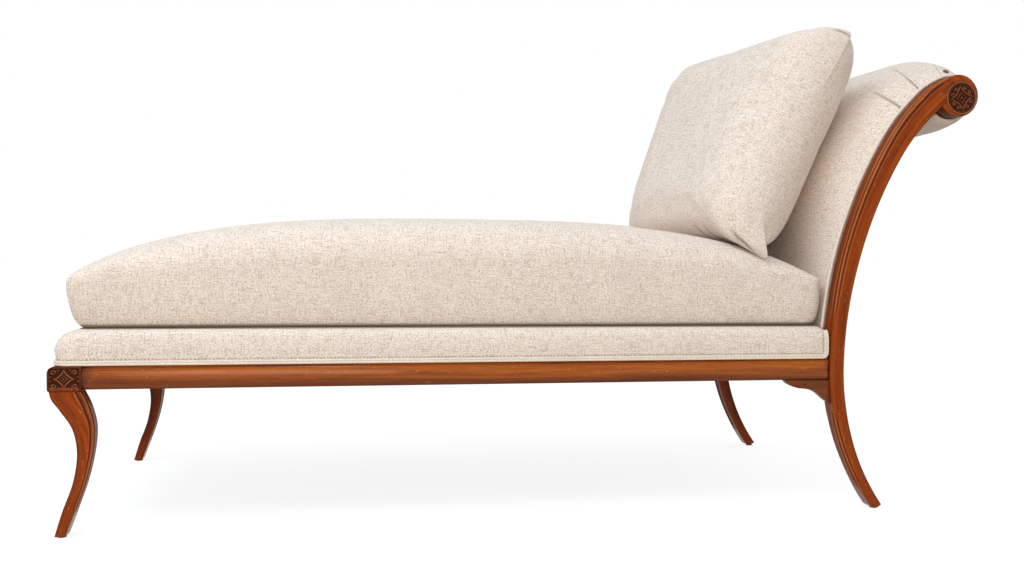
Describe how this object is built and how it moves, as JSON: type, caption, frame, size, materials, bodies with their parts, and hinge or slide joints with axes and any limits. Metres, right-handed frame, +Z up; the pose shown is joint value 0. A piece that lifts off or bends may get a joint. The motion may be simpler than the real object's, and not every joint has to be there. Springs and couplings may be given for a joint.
{
  "type": "recamier",
  "caption": "Long upholstered seat with sabre legs, one scrolled head end, a loose crowned seat cushion and a loose leaning back pillow in a show-wood frame",
  "frame": {"origin": "middle of the floor under the whole piece", "axes": "+X towards the scrolled head end, +Y towards the far long side, +Z up"},
  "size_m": [1.885, 0.6932, 1.0299],
  "materials": {
    "show_wood": "polished, semi-gloss, worn on the edges",
    "carved_wood": "dark polish, semi-gloss",
    "hidden_wood": "planed, unfinished",
    "screws": "plain",
    "glides": "hard, dark",
    "webbing": "woven jute",
    "dust_cloth": "thin black cloth",
    "upholstery": "flecked linen tweed",
    "trim": "bias-cut linen",
    "zip_metal": "dull",
    "foam": "soft foam",
    "filling": "fibre filling in ticking"
  },
  "bodies": {
    "frame": {"foot_leg_near": "show_wood", "foot_leg_far": "show_wood", "head_stile_near": "show_wood", "head_stile_far": "show_wood", "roundel_near": "carved_wood", "roundel_far": "carved_wood", "side_rail_near": "show_wood", "side_rail_far": "show_wood", "foot_rail": "show_wood", "rear_seat_rail": "hidden_wood", "head_rail": "hidden_wood", "knee_bracket_near": "show_wood", "knee_bracket_far": "show_wood", "crest_rail": "hidden_wood", "back_lower_rail": "hidden_wood", "back_middle_rail": "hidden_wood", "seat_bearers": "hidden_wood", "corner_blocks": "hidden_wood", "corner_screws": "screws", "glides": "glides", "seat_webbing_long": "webbing", "seat_webbing_cross": "webbing", "back_webbing": "webbing", "dust_cover": "dust_cloth", "deck_pad": "upholstery", "deck_welt": "trim", "inside_back": "upholstery", "outside_back": "upholstery", "back_welt_near": "trim", "back_welt_far": "trim"},
    "seat_cushion": {"seat_cushion": "upholstery", "seat_cushion_core": "foam", "seat_cushion_zip": "trim"},
    "zip_slider": {"seat_cushion_zip_pull": "zip_metal"},
    "back_pillow": {"back_pillow": "upholstery", "back_pillow_core": "filling"}
  },
  "joints": [
    {"name": "seat_cushion_lift", "type": "slide", "parent": "frame", "child": "seat_cushion", "axis": [0, 0, 1], "range_m": [0, 0.5]},
    {"name": "back_pillow_lift", "type": "slide", "parent": "seat_cushion", "child": "back_pillow", "axis": [0, 0, 1], "range_m": [0, 0.6]},
    {"name": "zip_slide", "type": "slide", "parent": "seat_cushion", "child": "zip_slider", "axis": [0, 1, 0], "range_m": [0, 0.5]}
  ]
}
